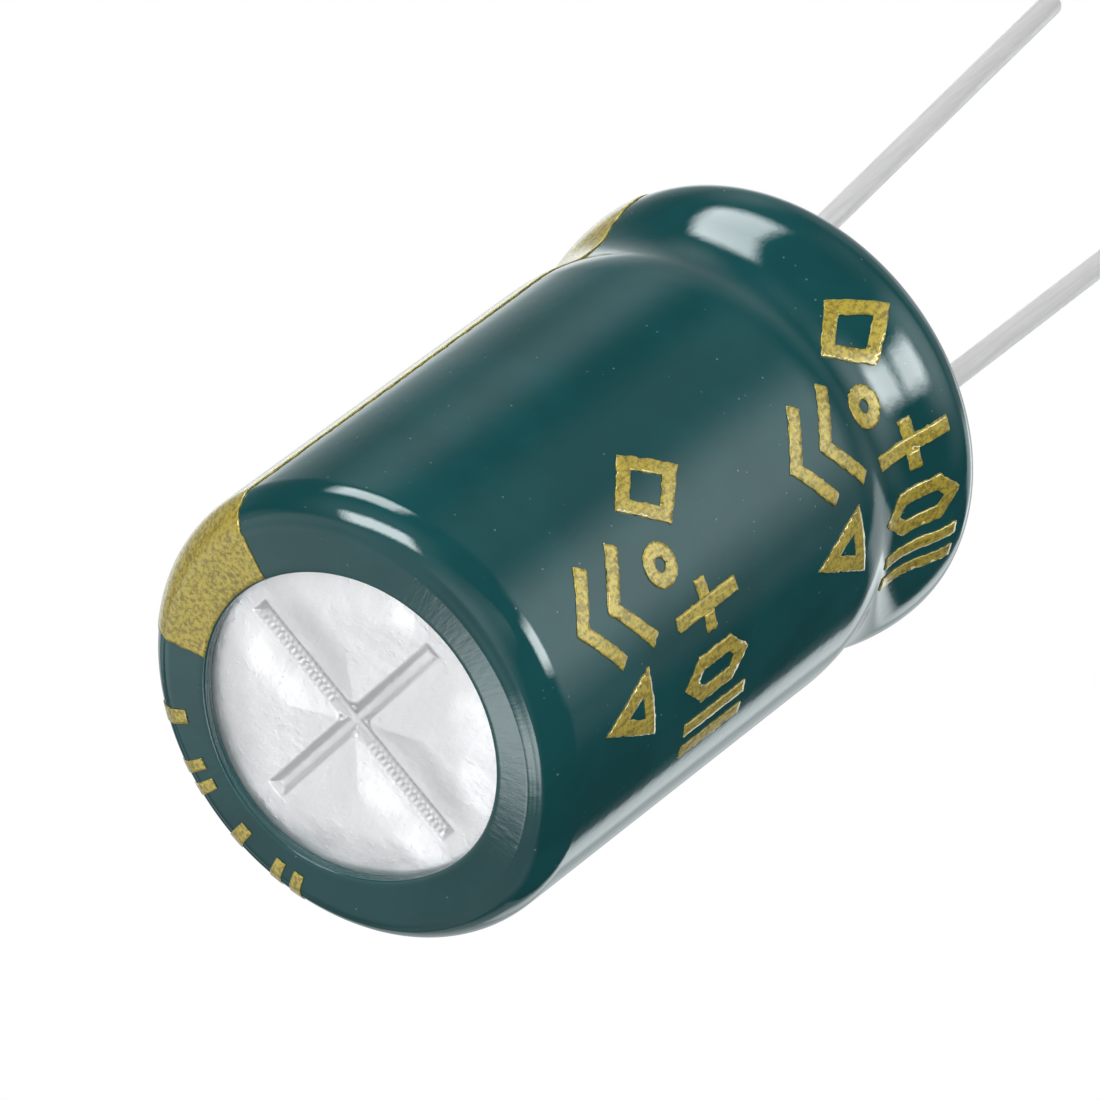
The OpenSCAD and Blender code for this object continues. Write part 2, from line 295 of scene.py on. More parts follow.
def circles_meet(a, ra, b, rb):
    """The outer of the two points that lie ra from point a and rb from point b."""
    gap = math.dist(a, b)
    along = ((b[0] - a[0]) / gap, (b[1] - a[1]) / gap)
    x = (ra * ra - rb * rb + gap * gap) / (2 * gap)
    y = math.sqrt(ra * ra - x * x)
    return (a[0] + x * along[0] + y * along[1], a[1] + x * along[1] - y * along[0])


class Profile:
    """The can's outline, and the sleeve's, which lies a wall's thickness outside it."""

    def __init__(self):
        self.can = can = settings("cap_can")
        self.sleeve = sleeve = settings("cap_sleeve")
        self.can_r = can.diameter / 2
        self.sleeve_r = self.can_r + sleeve.wall
        bulge_r = self.can_r + can.bulge
        self.bridge_r = bridge = sleeve.groove_r + sleeve.wall
        depth = sleeve.groove_depth
        self.groove_c = (self.can_r - depth + bridge, sleeve.groove_z)
        self.top_c = (
            self.can_r - can.bead_top, sleeve.groove_z + drop(depth, can.bead_top + bridge)
        )
        self.low_c = (
            bulge_r - can.bead_low,
            sleeve.groove_z - drop(depth + can.bulge, can.bead_low + bridge),
        )
        self.bead_c = circles_meet(
            self.low_c, can.bead_low + can.bead_roll, self.top_c, can.bead_top + can.bead_roll
        )
        self.curl_c = (bulge_r - can.curl, sleeve.wall + can.curl)
        self.sleeve_top = can.top + sleeve.lip
        self.opening_r = sleeve.opening / 2
        self.crease_r = sleeve.crease / 2
        run = sleeve.shoulder - (self.sleeve_r - self.crease_r)
        self.shoulder_c = (
            self.sleeve_r - sleeve.shoulder,
            self.sleeve_top - math.sqrt(sleeve.shoulder ** 2 - run ** 2),
        )

    def hollow(self, centre, radius, inset, step):
        """Outline of a hollow between the bulge and the side."""
        can = self.can
        low_a, top_a = direction(self.low_c, centre), direction(self.top_c, centre)
        low = arc(self.low_c, can.bead_low - inset, 0, low_a, step)
        middle = arc(centre, radius + inset, 180 + low_a, 180 + top_a, step)
        top = arc(self.top_c, can.bead_top - inset, top_a, 0, step)
        return low[:-1] + middle[:-1] + top

    def bead(self, inset):
        return self.hollow(self.bead_c, self.can.bead_roll, inset, 6)

    def groove(self, inset, step=6):
        """Outline where the sleeve bridges the bead."""
        return self.hollow(self.groove_c, self.bridge_r, inset, step)

    def curl(self, inset, start):
        return arc(self.curl_c, self.can.curl - inset, start, 0)

    def crease_turn(self, proud=0.0):
        radius = self.sleeve.shoulder + proud
        return math.degrees(
            math.asin(min(1, (self.sleeve_top + proud - self.shoulder_c[1]) / radius))
        )

    def side(self, proud, start=-90.0):
        """The sleeve's outside, a distance proud of it, from the curl to the crease."""
        inset = -self.sleeve.wall - proud
        shoulder = arc(
            self.shoulder_c, self.sleeve.shoulder + proud, 0, self.crease_turn(proud)
        )
        return self.curl(inset, start)[:-1] + self.groove(inset, 1.6) + shoulder

    def opening(self, turn):
        """Distance from the axis to the cut opening over the vent, in the direction turn."""
        sleeve = self.sleeve
        return (
            self.opening_r
            + sleeve.oval * math.cos(2 * (turn - sleeve.oval_turn))
            + sleeve.shift * math.cos(turn - sleeve.shift_turn)
            + sum(high * math.cos(count * turn + start) for count, high, start in OPENING_WAVES)
        )

    def to_opening(self, verts):
        """Moves points between the crease and the round opening out to the real opening."""
        for vert in verts:
            r = math.hypot(vert.co.x, vert.co.y)
            turn = math.atan2(vert.co.y, vert.co.x)
            part = (self.crease_r - r) / (self.crease_r - self.opening_r)
            new = self.crease_r - part * (self.crease_r - self.opening(turn))
            vert.co.x *= new / r
            vert.co.y *= new / r


# mesh helpers


def whole(mesh):
    return mesh.verts[:] + mesh.edges[:] + mesh.faces[:]


def shown(name, data):
    """Puts a new object with this data in the scene."""
    made = bpy.data.objects.new(name, data)
    bpy.context.scene.collection.objects.link(made)
    return made


def in_metres(mesh, name, material):
    """Mesh data of a bmesh in millimetres, which it frees."""
    bmesh.ops.scale(mesh, vec=(MM, MM, MM), verts=mesh.verts)
    data = bpy.data.meshes.new(name)
    mesh.to_mesh(data)
    mesh.free()
    data.materials.append(material)
    return data


def finished(mesh, name, material, node=None):
    """Makes a smooth object of a bmesh in millimetres, and hands it to the frame."""
    if not mesh.faces:
        raise RuntimeError(f"{name} has no faces")
    for face in mesh.faces:
        face.smooth = True
    piece = shown(name, in_metres(mesh, name, material))
    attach(piece, "root")
    if node:
        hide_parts(node)


def turned(outline, steps, closed=True, sweep=360.0, start=0.0):
    """A bmesh spun from points (distance from the axis, height), in millimetres."""
    mesh = bmesh.new()
    turn = Matrix.Rotation(math.radians(start), 3, "Z")
    verts = [mesh.verts.new(turn @ Vector((r, 0, z))) for r, z in outline]
    edges = [mesh.edges.new(pair) for pair in zip(verts, verts[1:])]
    if closed:
        edges.append(mesh.edges.new((verts[-1], verts[0])))
    bmesh.ops.spin(
        mesh, geom=verts + edges, cent=(0, 0, 0), axis=(0, 0, 1),
        angle=math.radians(sweep), steps=steps, use_merge=sweep >= 360,
    )
    bmesh.ops.remove_doubles(mesh, verts=mesh.verts, dist=1e-5)
    face_out(mesh)
    return mesh


def face_out(mesh):
    bmesh.ops.recalc_face_normals(mesh, faces=mesh.faces)


def cut(mesh, point, normal, **how):
    """Cuts the faces that a plane crosses."""
    bmesh.ops.bisect_plane(mesh, geom=whole(mesh), plane_co=point, plane_no=normal, **how)


def join_mesh(page, part):
    """Adds one bmesh to another, and frees it."""
    kept = bpy.data.meshes.new("part")
    part.to_mesh(kept)
    part.free()
    page.from_mesh(kept)
    bpy.data.meshes.remove(kept)


def smooth_step(value, low, high):
    """Nought below low, one above high, and a smooth rise between."""
    t = min(1.0, max(0.0, (value - low) / (high - low)))
    return t * t * (3 - 2 * t)


# materials


class Tree:
    """A node tree, with short ways to add and join nodes."""

    def __init__(self, owner):
        owner.use_nodes = True
        self.nodes, self.links = owner.node_tree.nodes, owner.node_tree.links

    def add(self, kind, **values):
        node = self.nodes.new(kind)
        for key, value in values.items():
            setattr(node, key, value)
        return node

    def join(self, source, target):
        self.links.new(source, target)

    def fill(self, sockets, values):
        """Joins each value that is a socket, and sets each other one."""
        for socket, value in zip(sockets, values):
            if isinstance(value, bpy.types.NodeSocket):
                self.join(value, socket)
            else:
                socket.default_value = (*value, 1.0) if socket.type == "RGBA" else value

    def put(self, node, **values):
        """Fills a node's inputs, named with _ for a space."""
        self.fill((node.inputs[name.replace("_", " ")] for name in values), values.values())

    def maths(self, operation, *values):
        node = self.add("ShaderNodeMath", operation=operation)
        self.fill(node.inputs, values)
        return node.outputs[0]

    def product(self, *values):
        total = values[0]
        for value in values[1:]:
            total = self.maths("MULTIPLY", total, value)
        return total

    def ramp(self, value, low, high, to_low=0.0, to_high=1.0):
        """A smooth rise or fall of a value between two ends."""
        node = self.add("ShaderNodeMapRange", interpolation_type="SMOOTHSTEP")
        self.put(node, Value=value, From_Min=low, From_Max=high, To_Min=to_low, To_Max=to_high)
        return node.outputs["Result"]

    def blend(self, factor, first, second):
        node = self.add("ShaderNodeMixShader")
        self.fill(node.inputs, (factor, first.outputs[0], second.outputs[0]))
        return node


class Nodes(Tree):
    """A material with its shader."""

    def __init__(self, name):
        self.material = bpy.data.materials.new(name)
        super().__init__(self.material)
        self.shader = self.nodes["Principled BSDF"]
        self.output = self.nodes["Material Output"]

    def surface(self, **values):
        """Fills inputs of the shader, and gives the material."""
        self.put(self.shader, **values)
        return self.material

    def place(self):
        """Object coordinates in millimetres."""
        coords = self.add("ShaderNodeTexCoord").outputs["Object"]
        return self.stretched(coords, (1 / MM, 1 / MM, 1 / MM))

    def stretched(self, vector, scale, turn=0.0):
        mapping = self.add("ShaderNodeMapping")
        self.put(mapping, Vector=vector, Scale=scale, Rotation=(0, 0, turn))
        return mapping.outputs["Vector"]

    def noise(self, vector, scale, detail=2.0, roughness=0.5):
        node = self.add("ShaderNodeTexNoise")
        self.put(node, Vector=vector, Scale=scale, Detail=detail, Roughness=roughness)
        return node.outputs["Fac"]

    def mix(self, factor, first, second):
        node = self.add("ShaderNodeMix", data_type="RGBA")
        self.fill((node.inputs[i] for i in (0, 6, 7)), (factor, first, second))
        return node.outputs[2]

    def split(self, vector):
        node = self.add("ShaderNodeSeparateXYZ")
        self.join(vector, node.inputs[0])
        return node.outputs

    def gather(self, x, y, z):
        node = self.add("ShaderNodeCombineXYZ")
        self.fill(node.inputs, (x, y, z))
        return node.outputs[0]

    def bump(self, height, strength, distance, normal=None):
        """Height is in millimetres times distance."""
        node = self.add("ShaderNodeBump")
        self.put(node, Height=height, Strength=strength, Distance=distance * MM)
        if normal:
            self.join(normal, node.inputs["Normal"])
        return node.outputs["Normal"]


def sleeve_plastic():
    """Glossy shrunk plastic: fine orange peel, creases on the end ring, and dust."""
    sizes = settings("cap_sleeve")
    n = Nodes("sleeve_plastic")
    place = n.place()
    x, y, z = n.split(place)
    radius = n.maths("SQRT", n.maths("ADD", n.product(x, x), n.product(y, y)))
    turn = n.maths("ARCTAN2", y, x)
    on_ring = n.ramp(z, 20.22, 20.4)
    # colour: thin and thick plastic, with pale dust
    cloudy = n.ramp(n.noise(place, 0.35, 3), 0.35, 0.65)
    tint = Vector(sizes.tint)
    body = n.mix(cloudy, tint * 0.9, tint * 1.08)
    dust = n.add("ShaderNodeTexVoronoi", feature="F1")
    n.put(dust, Vector=place, Scale=2.4, Randomness=1.0)
    grain = n.noise(place, 5.0, 1)
    spot = n.ramp(dust.outputs["Distance"], 0.095, 0.04)
    speck = n.product(spot, n.ramp(grain, 0.46, 0.6), 0.6)
    dusty = n.mix(speck, body, (0.3, 0.42, 0.42))
    # surface: orange peel everywhere, creases round the ring
    peel = n.noise(place, 2.3, 3, 0.55)
    fine = n.noise(place, 14.0, 2)
    around = n.gather(n.product(turn, 26.0), n.product(radius, 0.9), z)
    creases = n.product(n.noise(around, 1.4, 3, 0.6), on_ring)
    normal = n.bump(peel, 0.3, 0.012)
    normal = n.bump(fine, 0.2, 0.002, normal)
    normal = n.bump(creases, 0.25, 0.012, normal)
    # the drawn-in ring rises a little towards its cut edge
    rise = n.product(n.maths("SUBTRACT", 5.3, radius), sizes.ring_rise, on_ring)
    normal = n.bump(rise, 1.0, 1.0, normal)
    low, high = sizes.roughness - 0.015, sizes.roughness + 0.025
    rough = n.ramp(n.noise(place, 1.1, 3), 0.3, 0.7, low, high)
    return n.surface(Base_Color=dusty, Normal=normal, Roughness=rough, IOR=1.5)


def gold_ink():
    """Gold ink: crowded bright and dark grains, drawn out along Z as the sleeve shrank."""
    sizes = settings("cap_ink")
    n = Nodes("gold_ink")
    place = n.place()
    grain = n.noise(place, 8.5, 3, 0.7)
    streak = n.noise(n.stretched(place, (8.0, 8.0, 2.6)), 1.0, 3, 0.6)
    mixed = n.maths("ADD", n.product(grain, 0.6), n.product(streak, 0.4))
    shade = n.ramp(mixed, 0.4, 0.57)
    return n.surface(
        Base_Color=n.mix(shade, sizes.dark, sizes.tint),
        Normal=n.bump(mixed, 0.5, 0.02),
        Roughness=n.ramp(mixed, 0.35, 0.65, 0.55, 0.35),
        Metallic=0.1,
        Coat_Weight=1.0,
        Coat_Roughness=0.1,
    )


def bright_aluminium():
    """Rolled aluminium: faint rolling lines, satin blotches, small pits, and painted shade in the
    score.
    """
    sizes = settings("cap_vent")
    n = Nodes("can_aluminium")
    place = n.place()
    rolled = n.noise(n.stretched(place, (9.0, 1.2, 9.0), math.radians(64)), 1.0, 4, 0.6)
    blotch = n.noise(place, 0.8, 3, 0.6)
    pits = n.noise(place, 7.0, 2, 0.5)
    tint = Vector(sizes.tint)
    score = n.add("ShaderNodeAttribute", attribute_name="score").outputs["Fac"]
    worn = n.mix(n.ramp(rolled, 0.35, 0.7), tint * 0.97, tint)
    rough = n.ramp(blotch, 0.3, 0.7, sizes.roughness - 0.06, sizes.roughness + 0.1)
    normal = n.bump(rolled, 0.12, 0.02)
    normal = n.bump(blotch, 0.4, 0.07, normal)
    normal = n.bump(n.noise(place, 3.4, 3, 0.65), 0.4, 0.022, normal)
    normal = n.bump(n.ramp(pits, 0.6, 0.75), 0.3, 0.014, normal)
    # painted shade: the score's hollow is darkened towards two thirds of the tint
    scored = n.mix(score, worn, tint * 0.66)
    return n.surface(Base_Color=scored, Metallic=0.6, Roughness=rough, Normal=normal)


def tinned_wire():
    """Tin on steel: satin, with fine lines drawn along the wire."""
    sizes = settings("cap_leads")
    n = Nodes("tinned_wire")
    place = n.place()
    drawn = n.noise(n.stretched(place, (14.0, 14.0, 0.5)), 1.0, 3, 0.6)
    spots = n.noise(place, 3.0, 3, 0.6)
    tint = Vector(sizes.tint)
    return n.surface(
        Base_Color=n.mix(n.ramp(drawn, 0.35, 0.65), tint * 0.92, tint),
        Metallic=0.1,
        Roughness=n.ramp(spots, 0.3, 0.7, 0.3, 0.42),
        Normal=n.bump(drawn, 0.1, 0.01),
    )


def plain_finish(name, tint, roughness, scale, spread=0.12, depth=0.02, metallic=0.0):
    """A matt or satin finish with a fine grain, for the pieces inside."""
    n = Nodes(name)
    place = n.place()
    grain = n.noise(place, scale, 4, 0.6)
    tint = Vector(tint)
    return n.surface(
        Base_Color=n.mix(n.ramp(grain, 0.3, 0.7), tint * (1 - spread), tint * (1 + spread)),
        Roughness=n.ramp(grain, 0.3, 0.7, roughness - 0.05, roughness + 0.05),
        Metallic=metallic,
        Normal=n.bump(grain, 0.4, depth),
    )


# operators


class CAP_OT_sleeve(bpy.types.Operator):
    """Models the shrunk sleeve with its wavy opening over the vent"""

    bl_idname = "capacitor.sleeve"
    bl_label = "Shrunk Sleeve"

    def execute(self, context):
        profile = Profile()
        can, sleeve = profile.can, profile.sleeve
        opening, top, edge = profile.opening_r, profile.sleeve_top, sleeve.edge
        crease = (profile.crease_r, top)
        ring = [between(crease, (opening + edge, top), i / 8) for i in range(1, 9)]
        lip = arc((opening + edge, top - edge), edge, 90, 180, 30)
        low = arc((opening + edge, can.top + edge), edge, 180, 270, 30)
        corner_c = (profile.can_r - can.corner, can.top - can.corner)
        under = arc(corner_c, can.corner, 90, 0, 8)
        inner = under[:-1] + profile.groove(0)[::-1][:-1] + profile.curl(0, -90)[::-1]
        seat = sleeve.seat_opening / 2
        outline = (
            [(seat, sleeve.wall), (seat, 0)] + profile.side(0)[:-1]
            + [crease] + ring + lip[1:] + low + inner
        )
        mesh = turned(outline, settings("cap_stage").steps)
        floor = can.top - 1e-4
        profile.to_opening(
            v for v in mesh.verts
            if v.co.z >= floor and math.hypot(v.co.x, v.co.y) <= profile.crease_r - 1e-4
        )
        finished(mesh, "shrink_sleeve", sleeve_plastic(), "sleeve")
        return {"FINISHED"}


class CAP_OT_inks(bpy.types.Operator):
    """Lays the gold stripe and the printed marks on the sleeve"""

    bl_idname = "capacitor.inks"
    bl_label = "Gold Inks"

    def execute(self, context):
        profile = Profile()
        ink = settings("cap_ink")
        material = gold_ink()
        half = ink.stripe_angle / 2
        start = math.degrees(ink.stripe_dir - half)
        sweep = math.degrees(ink.stripe_angle)
        outline = profile.side(ink.thickness, -math.degrees(ink.stripe_low))
        fine = []
        for a, b in zip(outline, outline[1:]):
            count = max(1, math.ceil(math.dist(a, b) / 0.12))
            fine += [between(a, b, i / count) for i in range(count)]
        fine.append(outline[-1])
        top = profile.sleeve_top + ink.thickness
        crease, inner = (profile.crease_r, top), (profile.opening_r + 0.05, top)
        fine += [between(crease, inner, i / 10) for i in range(1, 11)]
        mesh = turned(fine, 60, closed=False, sweep=sweep, start=start)
        profile.to_opening(
            v for v in mesh.verts
            if v.co.z > profile.sleeve_top - 1e-3 and math.hypot(v.co.x, v.co.y) < profile.crease_r
        )
        self.minus_signs(mesh, profile, ink)
        self.fray(mesh, ink)
        self.thicken(mesh, ink)
        finished(mesh, "stripe_ink", material, "polarity_stripe")
        self.marks(profile, ink, material)
        return {"FINISHED"}

    @staticmethod
    def minus_signs(mesh, profile, ink):
        """Cuts along the outlines of the bare minus signs, and takes out what lies inside."""
        across = Vector((-math.sin(ink.stripe_dir), math.cos(ink.stripe_dir), 0))
        count = int((profile.shoulder_c[1] - ink.minus_wide - ink.minus_z) / ink.minus_pitch) + 1
        heights = [ink.minus_z + i * ink.minus_pitch for i in range(count)]
        half_long, half_wide = ink.minus_long / 2, ink.minus_wide / 2
        cuts = [((0, 0, z + side * half_wide), (0, 0, 1)) for z in heights for side in (-1, 1)]
        cuts += [(across * side * half_long, across) for side in (-1, 1)]
        for point, normal in cuts:
            cut(mesh, point, normal, dist=1e-5)
        bare = []
        for face in mesh.faces:
            middle = face.calc_center_median()
            on_a_line = any(abs(middle.z - z) < half_wide for z in heights)
            if on_a_line and abs(middle.dot(across)) < half_long:
                bare.append(face)
        bmesh.ops.delete(mesh, geom=bare, context="FACES")

    @staticmethod
    def fray(mesh, ink):
        """Gives the stripe's two long sides the slightly rough edge of a print."""
        for vert in mesh.verts:
            turn = math.atan2(vert.co.y, vert.co.x) % math.tau
            side = abs(turn - ink.stripe_dir) - ink.stripe_angle / 2
            if vert.is_boundary and abs(side) < 1e-3:
                shift = sum(noise.noise(vert.co * grains) * most for grains, most in FRAY)
                vert.co.rotate(Matrix.Rotation(shift, 3, "Z"))

    @staticmethod
    def thicken(mesh, ink):
        """Gives a film of ink its thickness, down to just under the sleeve's surface."""
        bmesh.ops.solidify(mesh, geom=mesh.faces[:], thickness=ink.thickness * 1.2)
        face_out(mesh)

    def marks(self, profile, ink, material):
        """Two like groups of plain shapes on the side, and short ticks on the end ring."""
        noise.seed_set(1)  # without it each run would draw other rough edges
        line = profile.side(ink.thickness)
        page = bmesh.new()
        for drop_z in (0.0, MARKS_PITCH):
            for kind, turn, z in MARKS:
                shape = self.shape(kind, ink.stroke)
                self.wrap(shape, profile, line, turn, z - drop_z)
                self.thicken(shape, ink)
                join_mesh(page, shape)
        for kind, turn in END_MARKS:
            shape = self.shape(kind, ink.stroke)
            self.wrap_end(shape, profile, ink, turn)
            self.thicken(shape, ink)
            join_mesh(page, shape)
        finished(page, "printed_marks", material)

    @staticmethod
    def bar(mesh, wide, high, at=(0, 0), lean=0.0):
        made = bmesh.ops.create_grid(mesh, x_segments=1, y_segments=1, size=0.5)["verts"]
        bmesh.ops.scale(mesh, vec=(wide, high, 1), verts=made)
        bmesh.ops.rotate(mesh, cent=(0, 0, 0), matrix=Matrix.Rotation(lean, 3, "Z"), verts=made)
        bmesh.ops.translate(mesh, vec=(*at, 0), verts=made)

    @classmethod
    def shape(cls, kind, stroke):
        """One printed shape in its own plane, about 3 mm high."""
        mesh = bmesh.new()
        if kind in OUTLINES:
            corners, radius, narrow = OUTLINES[kind]
            bmesh.ops.create_circle(mesh, cap_ends=True, segments=corners, radius=radius)
            bmesh.ops.scale(mesh, vec=(narrow, 1, 1), verts=mesh.verts)
            bmesh.ops.inset_region(
                mesh, faces=mesh.faces[:], thickness=stroke, use_boundary=True,
                use_even_offset=True,
            )
            inner = [f for f in mesh.faces if not any(v.is_boundary for v in f.verts)]
            bmesh.ops.delete(mesh, geom=inner, context="FACES")
        elif kind in BARS:
            wide, high, off = BARS[kind]
            for side in (-1, 1):
                cls.bar(mesh, stroke * wide, high, (side * off, 0))
        elif kind == "tick":
            cls.bar(mesh, stroke, 1.2)
        elif kind == "plus":
            arm = 0.52
            cls.bar(mesh, stroke, 2.7)
            for side in (-1, 1):
                cls.bar(mesh, arm, stroke, (side * (arm + stroke) / 2, 0))
        elif kind == "chevrons":
            for height in (-0.7, 0.7):
                cls.bar(mesh, 1.9, stroke, (0.62, height), math.radians(-38))
            cut(mesh, (0, 0, 0), (-1, 0, 0), clear_outer=True)
            bmesh.ops.mirror(mesh, geom=whole(mesh), axis="X", merge_dist=1e-4)
        # cut small enough to wrap, with a slightly rough outline
        for axis in (0, 1):
            for i in range(-16, 17):
                at, normal = [0, 0, 0], [0, 0, 0]
                at[axis], normal[axis] = i * 0.11 + 0.013, 1
                cut(mesh, at, normal, dist=1e-5)
        return mesh

    @staticmethod
    def wrap_end(mesh, profile, ink, turn):
        """Lays a flat shape over the end ring and the shoulder, its top towards the opening."""
        top = profile.sleeve_top + ink.thickness
        line = [(profile.opening_r, top)] + profile.side(ink.thickness)[::-1]
        steps = [math.dist(a, b) for a, b in zip(line, line[1:])]
        for vert in mesh.verts:
            left = profile.crease_r - profile.opening_r + 0.15 - vert.co.y
            for start, end, gap in zip(line, line[1:], steps):
                if left <= gap:
                    break
                left -= gap
            radius, height = between(start, end, left / gap)
            a = math.radians(turn) + vert.co.x / profile.crease_r
            vert.co = round_axis(radius, a, height)
        face_out(mesh)
        for face in mesh.faces:
            if face.normal.z < 0:
                face.normal_flip()

    @staticmethod
    def wrap(mesh, profile, line, turn, z):
        """Lays a flat shape on the sleeve, its top towards the vent."""
        seed = Vector((turn, z, 0))
        for vert in mesh.verts:
            if vert.is_boundary:
                shift = noise.noise_vector(vert.co * 9 + seed)
                vert.co.x += shift.x * 0.045
                vert.co.y += shift.y * 0.045
        for vert in mesh.verts:
            height = z + vert.co.y
            radius = next(
                r0 + (r1 - r0) * (height - z0) / (z1 - z0)
                for (r0, z0), (r1, z1) in zip(line, line[1:])
                if z0 <= height <= z1 and z1 > z0
            )
            a = math.radians(turn) + vert.co.x / profile.sleeve_r
            vert.co = round_axis(radius, a, height)
        face_out(mesh)
        for face in mesh.faces:
            if face.normal.xy.dot(face.calc_center_median().xy) < 0:
                face.normal_flip()


class CAP_OT_can(bpy.types.Operator):
    """Models the aluminium can with its scored end, bead and curled edge"""

    bl_idname = "capacitor.can"
    bl_label = "Vented Can"

    def execute(self, context):
        profile = Profile()
        can, vent = profile.can, settings("cap_vent")
        top, wall, hole = can.top, can.wall, vent.rim
        corner_c = (profile.can_r - can.corner, top - can.corner)
        turn_deg = math.degrees(can.curl_turn)
        outline = profile.curl(0, -turn_deg)[:-1] + profile.bead(0)
        outline += arc(corner_c, can.corner, 0, 90) + [(hole, top)]
        inner_corner = can.corner - wall
        inside = [(0.0, top - can.end_wall)] + arc(
            (profile.can_r - can.corner, top - can.end_wall - inner_corner),
            inner_corner, 90, 0, 15,
        )
        inside += profile.bead(wall)[::-1] + profile.curl(wall, -turn_deg)[::-1]
        steps = settings("cap_stage").steps
        mesh = turned(outline, steps, closed=False)
        # the closed end: a fine grid, pressed to the cross
        disc = bmesh.new()
        count = math.ceil(2 * hole / vent.cell)
        bmesh.ops.create_grid(disc, x_segments=count, y_segments=count, size=hole)
        outside = [v for v in disc.verts if math.hypot(v.co.x, v.co.y) > hole - vent.cell * 0.4]
        bmesh.ops.delete(disc, geom=outside, context="VERTS")
        for vert in [v for v in disc.verts if v.is_boundary]:
            vert.co.xy = vert.co.xy.normalized() * (hole - vent.cell * 0.3)
        # the score layer holds the painted shade for the score's hollow
        score = disc.verts.layers.float.new("score")
        mesh.verts.layers.float.new("score")
        for vert in disc.verts:
            vert.co.z, vert[score] = self.press(vert.co.x, vert.co.y, vent)
        bmesh.ops.rotate(
            disc, cent=(0, 0, 0), matrix=Matrix.Rotation(vent.turn, 3, "Z"), verts=disc.verts
        )
        bmesh.ops.translate(disc, vec=(0, 0, top), verts=disc.verts)
        join_mesh(mesh, disc)
        bounds = [e for e in mesh.edges if e.is_boundary and e.verts[0].co.z > top - 0.3]
        bmesh.ops.bridge_loops(mesh, edges=bounds)
        join_mesh(mesh, turned(inside, steps, closed=False))
        bmesh.ops.bridge_loops(mesh, edges=[e for e in mesh.edges if e.is_boundary])
        bmesh.ops.remove_doubles(mesh, verts=mesh.verts, dist=1e-5)
        face_out(mesh)
        finished(mesh, "vented_can", bright_aluminium(), "can")
        return {"FINISHED"}

    @staticmethod
    def press(x, y, vent):
        """Height of the scored end, and the painted shade in the score, with the cross along X and
        Y.
        """
        half = vent.width / 2
        along, across = max(abs(x), abs(y)), min(abs(x), abs(y))
        # a square-ended arm with rounded inner corners
        fillet = vent.fillet
        inset = half - across
        if along < half + fillet and across > half - 1e-9 and across < half + fillet:
            inset = math.hypot(half + fillet - abs(x), half + fillet - abs(y)) - fillet
        inset = min(inset, vent.arm - along)
        # the arms along X carry the tool's fine steps, the one along +Y runs out shallow
        stepped = abs(x) > abs(y) and along > 0.7  # clear of the middle
        steps = math.sin(along * math.tau / vent.step) if stepped else 0.0
        groove = smooth_step(inset + 0.01 * steps, -0.05, 0.19)
        fade = 0.4 * smooth_step(y, 0.8, 3.2)
        height = -vent.depth * groove * (1 - fade + 0.03 * steps)
        # the four fields stand a little proud and fall towards the score and the rim
        field = smooth_step(across, half, half + 1.4) * smooth_step(math.hypot(x, y), 4.7, 3.2)
        height += vent.dome * field * (1 - groove)
        # painted shade in the score, darkest along X, where the tool left its steps
        dark = 0.45 + 0.55 * smooth_step(abs(x) - abs(y), -0.3, 0.3)
        return height, groove * dark * (1 - 1.6 * fade) * (0.75 + 0.25 * steps)


class CAP_OT_leads(bpy.types.Operator):
    """Models the two tinned leads"""

    bl_idname = "capacitor.leads"
    bl_label = "Tinned Leads"

    def execute(self, context):
        leads = settings("cap_leads")
        wire = tinned_wire()
        half = leads.pitch / 2
        tops = (leads.top + leads.weld, leads.top)
        straight = [Vector((half, 0, z)) for z in (*tops, -leads.positive)]
        self.wire("positive_lead", straight, leads, wire, "lead_positive")
        bend = [Vector((-half, 0, z)) for z in tops]
        centre = Vector((-half - leads.splay_radius, 0, leads.top))
        count = 6
        for i in range(1, count + 1):
            a = leads.splay * i / count
            bend.append(centre + leads.splay_radius * Vector((math.cos(a), 0, -math.sin(a))))
        away = Vector((-math.sin(leads.splay), 0, -math.cos(leads.splay)))
        rest = (leads.negative + bend[-1].z) / math.cos(leads.splay)
        bend.append(bend[-1] + away * rest)
        self.wire("negative_lead", bend, leads, wire, "lead_negative")
        return {"FINISHED"}

    @staticmethod
    def wire(name, path, leads, material, node):
        """The weld's cone and a round wire along a path, with its cut end rounded a little."""
        mesh = bmesh.new()
        bmesh.ops.create_circle(mesh, cap_ends=True, segments=32, radius=leads.weld_wide / 2)
        bmesh.ops.translate(mesh, vec=path[0], verts=mesh.verts)
        face = mesh.faces[:][0]
        for i, point in enumerate(path[1:], 1):
            after = path[min(i + 1, len(path) - 1)]
            heading = (after - path[i - 1]).normalized()
            grown = bmesh.ops.extrude_face_region(mesh, geom=[face], use_keep_orig=(i == 1))
            verts = [g for g in grown["geom"] if isinstance(g, bmesh.types.BMVert)]
            middle = sum((v.co for v in verts), Vector()) / len(verts)
            bmesh.ops.translate(mesh, vec=point - middle, verts=verts)
            faces = [g for g in grown["geom"] if isinstance(g, bmesh.types.BMFace)]
            if i == 1:
                thin = leads.diameter / leads.weld_wide
                bmesh.ops.scale(
                    mesh, vec=(thin, thin, 1), verts=verts, space=Matrix.Translation(-point)
                )
            else:
                bmesh.ops.delete(mesh, geom=[face], context="FACES_ONLY")
            face = faces[0]
            face.normal_update()
            turn = face.normal.rotation_difference(heading)
            if face.normal.dot(heading) < 0:
                turn = (-face.normal).rotation_difference(heading)
            bmesh.ops.rotate(mesh, cent=point, matrix=turn.to_matrix(), verts=verts)
        bmesh.ops.bevel(
            mesh, geom=face.edges[:], offset=0.05, segments=2, profile=0.5, affect="EDGES",
            material=-1,
        )
        face_out(mesh)
        finished(mesh, name, material, node)


